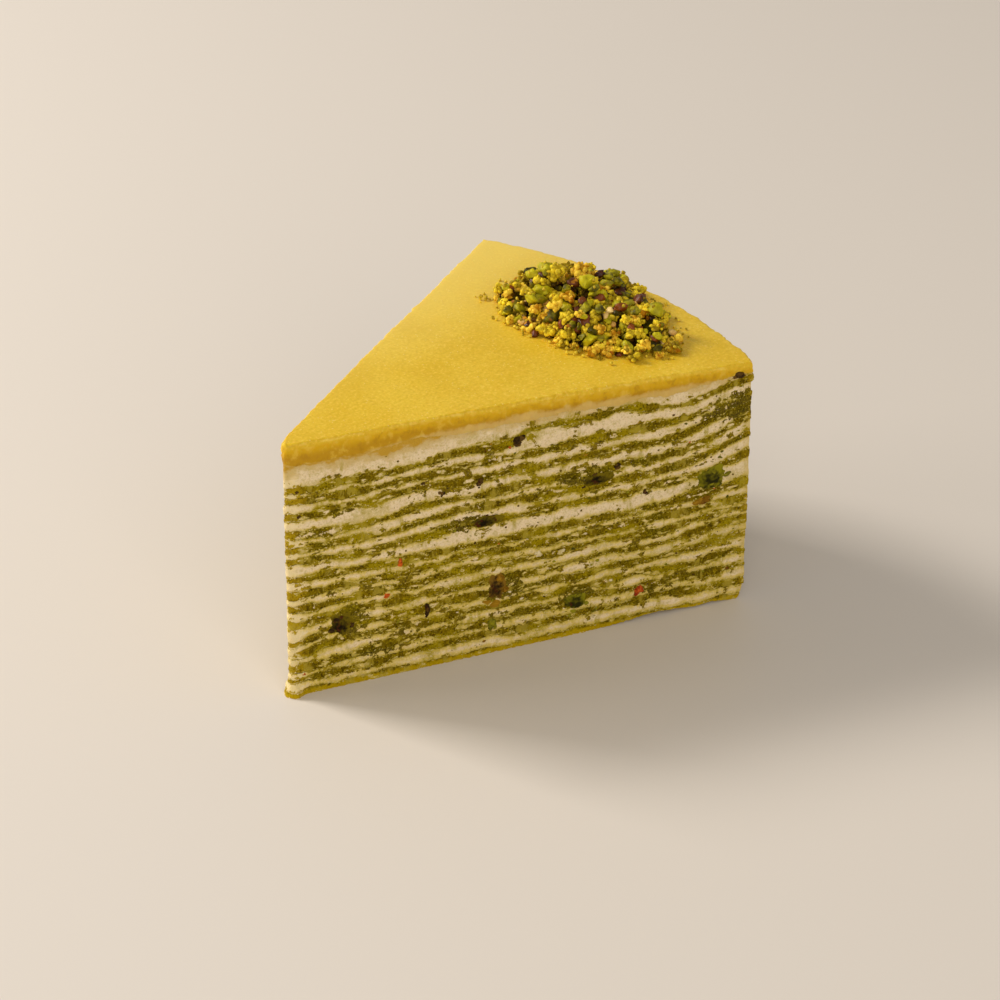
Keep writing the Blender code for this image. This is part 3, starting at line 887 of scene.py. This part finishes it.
# Each bit in the shown face: distance from the cake's centre, height, length and height, kind
SMALL_BITS = (
    (87.5, 8.3, 3.0, 3.4, "red"), (57.5, 55.2, 3.4, 3.2, "dark"),
    (28.8, 29.6, 2.0, 2.6, "red"), (25.4, 21.7, 1.8, 1.8, "red"),
    (35.4, 15.4, 2.0, 4.0, "dark"), (34.6, 49.3, 2.4, 1.6, "dark"),
    (38.8, 45.4, 2.2, 2.2, "dark"), (47.9, 46.3, 2.4, 2.2, "dark"),
    (88.8, 34.6, 2.0, 2.4, "dark"), (103.0, 29.0, 4.5, 2.4, "orange"),
    (50.7, 8.2, 3.4, 4.6, "green"), (111.0, 60.5, 3.6, 2.6, "dark"),
    (5.0, 5.6, 1.2, 1.0, "red"), (5.0, 53.2, 1.1, 1.1, "dark"),
    (5.2, 46.8, 1.1, 1.2, "dark"), (62.2, 24.2, 2.6, 2.2, "white"),
    (67.8, 23.6, 2.4, 1.6, "white"), (81.5, 43.2, 2.2, 1.6, "dark"),
)
# Each kind: how many on each face, smallest and largest in mm, slot, then as in CUT_NUTS
CRUMB_KINDS = {
    "dark": (34, (0.3, 0.8), "nut_brown",
             (0.02, 0.009, 0.002), (0.12, 0.06, 0.008), (0.05, 0.01, 0.005), 0.8, 0.05),
    "green": (50, (0.4, 1.1), "nut_green",
              (0.06, 0.052, 0.001), (0.27, 0.235, 0.008), (0.1, 0.07, 0.004), 1.0, 0.0),
    "red": (4, (0.5, 0.9), "nut_brown",
            (0.24, 0.022, 0.002), (0.62, 0.12, 0.012), (0.1, 0.012, 0.002), 0.8, 0.0),
    "orange": (12, (0.5, 1.1), "nut_brown",
               (0.14, 0.055, 0.001), (0.36, 0.19, 0.008), (0.12, 0.04, 0.002), 1.0, 0.0),
    "white": (34, (0.4, 1.0), "cream",
              (0.56, 0.44, 0.17), (0.74, 0.61, 0.36), (0.5, 0.37, 0.12), 1.0, -0.1),
}
CRUMB_SHINE = 0.08
CRUMB_CREASE = 40
CRUMB_SHAPES = 8
CRUMB_NEAREST = 5
CRUMB_SPAN = 107
CRUMB_HEIGHTS = (1.5, 58)
CHIPS_PER_BIT = 6
PIECES_PER_BIT = 5
BROKEN_SHARE = 0.85


def grain_mesh(divisions, lumps, seed, chops):
    """The points and faces of one grain of unit radius, chopped flat on some sides."""
    ball = lumpy_ball("grain", divisions, lumps, 0.7, seed)
    draws = random.Random(seed)
    bpy.ops.object.mode_set(mode="EDIT")
    for _chop in range(chops):
        way = Vector([draws.gauss(0, 1) for _axis in range(3)]).normalized()
        bpy.ops.mesh.select_all(action="SELECT")
        bpy.ops.mesh.bisect(plane_co=way * draws.uniform(0.45, 0.75), plane_no=way,
                            use_fill=True, clear_outer=True)
    bpy.ops.mesh.select_all(action="SELECT")
    bpy.ops.mesh.quads_convert_to_tris()
    bpy.ops.object.mode_set(mode="OBJECT")
    points = np.array([tuple(point.co) for point in ball.data.vertices])
    faces = np.array([tuple(face.vertices) for face in ball.data.polygons])
    mesh = ball.data
    bpy.data.objects.remove(ball)
    bpy.data.meshes.remove(mesh)
    return points, faces


def joined_grains(name, grains, crease):
    """One piece of many grains: each is a shape, its centre, half sizes, turn and tint."""
    points, faces, tints, start = [], [], [], 0
    for (shape_points, shape_faces), centre, half_sizes, turn, tone in grains:
        points.append((shape_points * half_sizes) @ np.array(turn.to_matrix()).T + centre)
        faces.append(shape_faces + start)
        tints.append(np.full(len(shape_points), tone))
        start += len(shape_points)
    mesh = bpy.data.meshes.new(name)
    mesh.from_pydata(np.vstack(points).tolist(), [], np.vstack(faces).tolist())
    piece = bpy.data.objects.new(name, mesh)
    bpy.context.scene.collection.objects.link(piece)
    store(piece, "tint", np.concatenate(tints))
    shade_smooth(piece, crease)
    return piece


crumb_shapes = [grain_mesh(2, 0.45, 200 + number, 1 + number % 4) for number in range(CRUMB_SHAPES)]


def face_grain(side, distance, height, length, tall, draws):
    """A crumb half sunk in a cut face."""
    foot, _along, out = face_frame(side, distance)
    centre = foot + Vector((0, 0, height * MM)) - out * 0.08 * MM
    half_sizes = np.array((length / 2, min(length, tall) * 0.45, tall / 2)) * MM
    turn = Euler((draws.uniform(-0.2, 0.2), draws.uniform(-0.4, 0.4), side * HALF_ANGLE))
    return draws.choice(crumb_shapes), np.array(centre), half_sizes, turn, draws.random()


def broken_bit(side, distance, height, length, tall, draws):
    """A bit of nut that the knife broke: a few angular pieces side by side."""
    pieces = []
    for _piece in range(PIECES_PER_BIT):
        share = draws.uniform(0.4, 0.75)
        pieces.append(face_grain(side, distance + draws.uniform(-0.28, 0.28) * length,
                                 height + draws.uniform(-0.28, 0.28) * tall,
                                 length * share, tall * share, draws))
    return pieces


crumb_draws = random.Random(5)
for kind, (count, sizes, slot, *colours) in CRUMB_KINDS.items():
    crumbs = []
    for distance, height, length, tall, bit_kind in SMALL_BITS:
        if bit_kind == kind:
            crumbs += broken_bit(-1, distance, height, length * BROKEN_SHARE, tall * BROKEN_SHARE,
                                 crumb_draws)
    for name, (side, distance, height, length, tall) in NUT_BITS.items():
        chipped = kind in name or (kind == "orange" and "brown" in name)
        for _chip in range(CHIPS_PER_BIT if chipped else 0):
            size = crumb_draws.uniform(0.1, 0.34) * tall
            crumbs.append(face_grain(side, distance + crumb_draws.gauss(0, 0.3) * length,
                                     height + crumb_draws.gauss(0, 0.3) * tall,
                                     size * crumb_draws.uniform(0.9, 1.8), size, crumb_draws))
    for _crumb in range(count * 2):
        side = crumb_draws.choice((-1, 1))
        distance = CRUMB_NEAREST + CRUMB_SPAN * math.sqrt(crumb_draws.random())
        height = crumb_draws.uniform(*CRUMB_HEIGHTS)
        length = crumb_draws.uniform(*sizes)
        tall = length * crumb_draws.uniform(0.5, 0.9)
        crumbs.append(face_grain(side, distance, height, length, tall, crumb_draws))
    piece = joined_grains(f"crumbs_{kind}", crumbs, CRUMB_CREASE)
    piece.data.materials.append(nut_material(f"crumb_{kind}", *colours, CRUMB_SHINE))
    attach(piece, "root")


# The heap of chopped pistachios
# Pistachios chopped with a knife and dropped on the glaze near the rim: bright green flesh,
# yellow-green meal in knobbly clumps, brown and purple skins, a few pale bits, and crumbs that
# rolled away. Under them is the heap's own lumpy core.

HEAP_CENTRE = (35.8 * MM, -3.7 * MM)
HEAP_HALF = (16.9 * MM, 25.0 * MM)
CORE_SHARE = 0.8
PEAK = (42.0 * MM, 10.0 * MM)
PEAK_SPREAD = 8.0 * MM
PEAK_HEIGHT = 2.6 * MM
HEAP_HEIGHT = 9.4 * MM
CORE_HEIGHT = 0.34 * HEAP_HEIGHT
LANDING_HEIGHT = 0.3 * HEAP_HEIGHT
MAP_STEP = 0.4 * MM
MAP_HALF = 34 * MM


def heap_reach(x, y):
    """How near places are to the heap's border: 0 in its middle, 1 on its uneven outline."""
    across = (x - HEAP_CENTRE[0]) / HEAP_HALF[0]
    along = (y - HEAP_CENTRE[1]) / HEAP_HALF[1]
    heading = np.arctan2(along, across)
    border = (1 + 0.05 * np.sin(3 * heading + 0.6) + 0.04 * np.sin(5 * heading + 2.0)
              + 0.03 * np.sin(9 * heading))
    return np.hypot(across, along) / border


def heap_peak(x, y):
    """How much the heap stands higher towards its back left end."""
    return PEAK_HEIGHT * np.exp(-((x - PEAK[0]) ** 2 + (y - PEAK[1]) ** 2) / PEAK_SPREAD ** 2)


def dome(reach):
    """A flat dome: 1 in the middle, steep towards its border."""
    return (1 - reach ** 2.4) ** 0.8


def heap_envelope(x, y):
    """The heap's height over the glaze, up to which grains are dropped."""
    tilt = 1 + 0.15 * (y - HEAP_CENTRE[1]) / HEAP_HALF[1]
    return HEAP_HEIGHT * tilt * dome(np.clip(heap_reach(x, y), 0, 1)) + heap_peak(x, y)


def heap_core():
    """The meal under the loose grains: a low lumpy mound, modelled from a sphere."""
    bpy.ops.object.select_all(action="DESELECT")
    bpy.ops.mesh.primitive_uv_sphere_add(segments=96, ring_count=48, radius=1)
    core = bpy.context.object
    core.name = "nut_heap_core"
    for point in core.data.vertices:
        unit = point.co.copy()
        reach = min(math.hypot(unit.x, unit.y), 1.0)
        x = HEAP_CENTRE[0] + HEAP_HALF[0] * CORE_SHARE * unit.x
        y = HEAP_CENTRE[1] + HEAP_HALF[1] * CORE_SHARE * unit.y
        rise = -0.3 * MM
        if unit.z > 0.001:
            lumps = noise.noise(Vector((x, y, 0)) / (2.4 * MM))
            lumps += 0.6 * noise.noise(Vector((x, y, 5)) / (1.1 * MM))
            lumps = 0.45 * MM * lumps + heap_peak(x, y)
            rise = CORE_HEIGHT * dome(reach) + lumps * (1 - reach ** 6)
        point.co = (x, y, top_height(x, y) + rise)
    bpy.ops.object.shade_smooth()
    return core


map_size = int(2 * MAP_HALF / MAP_STEP)
map_x = HEAP_CENTRE[0] - MAP_HALF + MAP_STEP * (np.arange(map_size) + 0.5)
map_y = HEAP_CENTRE[1] - MAP_HALF + MAP_STEP * (np.arange(map_size) + 0.5)
grid_x, grid_y = np.meshgrid(map_x, map_y, indexing="ij")
core_reach = np.clip(heap_reach(grid_x, grid_y) / CORE_SHARE, 0, 1)
landing = LANDING_HEIGHT * dome(core_reach) + heap_peak(grid_x, grid_y) * (1 - core_reach ** 6)


def paint_gap_shade(piece):
    """Keep how deep each point lies between the grains, for the painted shade in the gaps."""
    points = np.array([tuple(point.co) for point in piece.data.vertices])
    x, y = points[:, 0], points[:, 1]
    column = np.clip(((x - map_x[0]) / MAP_STEP + 0.5).astype(int), 0, map_size - 1)
    row = np.clip(((y - map_y[0]) / MAP_STEP + 0.5).astype(int), 0, map_size - 1)
    below = landing[column, row] - (points[:, 2] - top_height(x, y))
    store(piece, "deep", 0.9 * np.clip((below / MM - 0.8) / 1.3, 0, 1))


def drop_grain(x, y, half_sizes, sink):
    """Let a grain land on what lies below it; returns its centre's height over the glaze."""
    reach = 0.8 * (half_sizes[0] + half_sizes[1]) / 2
    span = int(reach / MAP_STEP) + 1
    column = int((x - map_x[0]) / MAP_STEP + 0.5)
    row = int((y - map_y[0]) / MAP_STEP + 0.5)
    window = (slice(max(column - span, 0), column + span + 1),
              slice(max(row - span, 0), row + span + 1))
    away = np.hypot(grid_x[window] - x, grid_y[window] - y) / reach
    under = away < 1
    if not under.any():
        return half_sizes[2] * 0.8
    ground = np.percentile(landing[window][under], 70)
    centre = ground + half_sizes[2] * (1 - sink)
    crown = centre + half_sizes[2] * 0.8 * np.sqrt(np.clip(1 - away ** 2, 0, 1))
    landing[window] = np.where(under, np.maximum(landing[window], crown), landing[window])
    return centre


# Each kind: divisions, lumps, chops, shine, then as in CUT_NUTS
NUT_KINDS = {
    "green": (3, 0.42, 3, 0.16,
              (0.05, 0.04, 0.0001), (0.54, 0.46, 0.008), (0.36, 0.12, 0.002), 2.0, 0.03),
    "skin": (3, 0.36, 2, 0.3,
             (0.03, 0.004, 0.0005), (0.24, 0.055, 0.002), (0.62, 0.26, 0.006), 1.8, 0.08),
    "pale": (2, 0.34, 2, 0.2,
             (0.62, 0.32, 0.06), (0.92, 0.66, 0.24), (0.46, 0.16, 0.02), 1.2, -0.02),
    "yellow": (1, 0.42, 0, 0.1,
               (0.44, 0.18, 0.001), (1.0, 0.7, 0.055), (0.4, 0.12, 0.001), 1.4, 0.07),
    "yellow_green": (1, 0.42, 0, 0.1,
                     (0.2, 0.12, 0.001), (0.92, 0.68, 0.026), (0.36, 0.13, 0.001), 1.4, 0.05),
}
SHAPES_PER_KIND = 7
# Each batch: kind, how many, smallest and largest size in mm, how far out it may lie
NUT_BATCHES = (
    ("green", 140, 1.8, 3.6, 0.97),
    ("green", 20, 3.8, 5.2, 0.78),
    ("skin", 42, 1.8, 3.6, 0.94),
    ("skin", 5, 4.0, 5.2, 0.7),
    ("pale", 24, 1.5, 2.8, 0.92),
    ("yellow", 105, 1.8, 3.6, 1.02),
    ("yellow_green", 160, 1.8, 4.2, 1.02),
)
KNOBS = 10
LANDING_TRIES = 8
LOOSE_CRUMBS = 330
SPILLED_CRUMBS = 40
# Crumbs that rolled off the heap: middle x and y, and spread in mm
SPILLS = ((24.1, 19.5, 0.9), (21.2, 6.0, 1.4), (34.6, -27.5, 2.0), (22.0, -12.0, 1.6))


def clump(shapes, centre, size, draws):
    """A clump of sticky nut meal: small knobs pressed together round its middle."""
    half_sizes = np.array((0.4, 0.36, 0.3)) * size
    knobs = [(draws.choice(shapes), centre, half_sizes, Euler(), draws.random())]
    tone = draws.random()
    for _knob in range(KNOBS):
        way = np.array([draws.gauss(0, 1) for _axis in range(3)])
        way[2] = abs(way[2]) * 0.8 - 0.2
        way *= size * draws.uniform(0.28, 0.44) / np.linalg.norm(way)
        half = size * draws.uniform(0.14, 0.3)
        turn = Euler([draws.uniform(0, math.tau) for _axis in range(3)])
        half_sizes = half * np.array((1, draws.uniform(0.75, 1), draws.uniform(0.7, 0.95)))
        knobs.append((draws.choice(shapes), centre + way, half_sizes, turn,
                      0.6 * tone + 0.4 * draws.random()))
    return knobs


def heap_place(reach, heading):
    """A place on the heap at a share of its half sizes and a heading."""
    return (HEAP_CENTRE[0] + HEAP_HALF[0] * reach * math.cos(heading),
            HEAP_CENTRE[1] + HEAP_HALF[1] * reach * math.sin(heading))


nut_shapes = {
    kind: [grain_mesh(divisions, lumps, 300 + 10 * order + number, min(chops, number % 3 + 1))
           for number in range(SHAPES_PER_KIND)]
    for order, (kind, (divisions, lumps, chops, *_look)) in enumerate(NUT_KINDS.items())
}
heap_grains = {kind: [] for kind in NUT_KINDS}
heap_draws = random.Random(17)
to_drop = [(kind, heap_draws.uniform(smallest, largest) * MM, farthest)
           for kind, count, smallest, largest, farthest in NUT_BATCHES for _grain in range(count)]
heap_draws.shuffle(to_drop)
for kind, size, farthest in to_drop:
    half_sizes = np.array((0.5, heap_draws.uniform(0.32, 0.44), heap_draws.uniform(0.26, 0.38)))
    half_sizes *= size
    for _try in range(LANDING_TRIES):
        reach = math.sqrt(heap_draws.random()) * farthest
        x, y = heap_place(reach, heap_draws.uniform(0, math.tau))
        column = int((x - map_x[0]) / MAP_STEP)
        row = int((y - map_y[0]) / MAP_STEP)
        if landing[column, row] < heap_envelope(x, y) - 0.25 * size:
            break
    height = drop_grain(x, y, half_sizes, 0.3)
    turn = Euler((heap_draws.uniform(-0.6, 0.6), heap_draws.uniform(-0.6, 0.6),
                  heap_draws.uniform(0, math.tau)))
    centre = np.array((x, y, top_height(x, y) + height))
    if kind.startswith("yellow"):
        heap_grains[kind] += clump(nut_shapes[kind], centre, size, heap_draws)
    else:
        shape = heap_draws.choice(nut_shapes[kind])
        heap_grains[kind].append((shape, centre, half_sizes, turn, heap_draws.random()))

for kind, (_divisions, _lumps, _chops, shine, *colours) in NUT_KINDS.items():
    piece = joined_grains(f"nuts_{kind}", heap_grains[kind], NUT_CREASE)
    paint_gap_shade(piece)
    piece.data.materials.append(nut_material(f"nut_{kind}", *colours, shine, 0.5 - 0.4 * shine))
    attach(piece, "root")
    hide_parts("chopped_nuts")

core = heap_core()
paint_gap_shade(core)
core.data.materials.append(nut_material(
    "nut_meal", (0.03, 0.012, 0.001), (0.16, 0.09, 0.002), (0.03, 0.01, 0.001), 1.0, 0.05))
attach(core, "root")
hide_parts("chopped_nuts")

loose = []
for number in range(LOOSE_CRUMBS):
    reach = math.sqrt(heap_draws.random()) * 1.04
    if number % 3 == 0:
        reach = 0.94 + 0.22 * heap_draws.random() ** 2
    x, y = heap_place(reach, heap_draws.uniform(0, math.tau))
    if number < SPILLED_CRUMBS:
        spill_x, spill_y, spread = SPILLS[number % len(SPILLS)]
        x = spill_x * MM + heap_draws.gauss(0, spread) * MM
        y = spill_y * MM + heap_draws.gauss(0, spread) * MM
    size = heap_draws.uniform(0.45, 1.2) * MM
    half_sizes = np.array((size / 2, size * 0.45, size * 0.4))
    height = drop_grain(x, y, half_sizes, 0.2)
    centre = np.array((x, y, top_height(x, y) + height))
    turn = Euler((heap_draws.uniform(0, 3), heap_draws.uniform(0, 3),
                  heap_draws.uniform(0, math.tau)))
    shape = heap_draws.choice(nut_shapes["yellow"])
    loose.append((shape, centre, half_sizes, turn, heap_draws.random()))
loose_piece = joined_grains("nut_crumbs", loose, NUT_CREASE)
loose_piece.data.materials.append(nut_material(
    "nut_fine", (0.28, 0.18, 0.002), (0.78, 0.56, 0.03), (0.26, 0.11, 0.003), 1.5, 0.0))
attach(loose_piece, "root")
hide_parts("chopped_nuts")
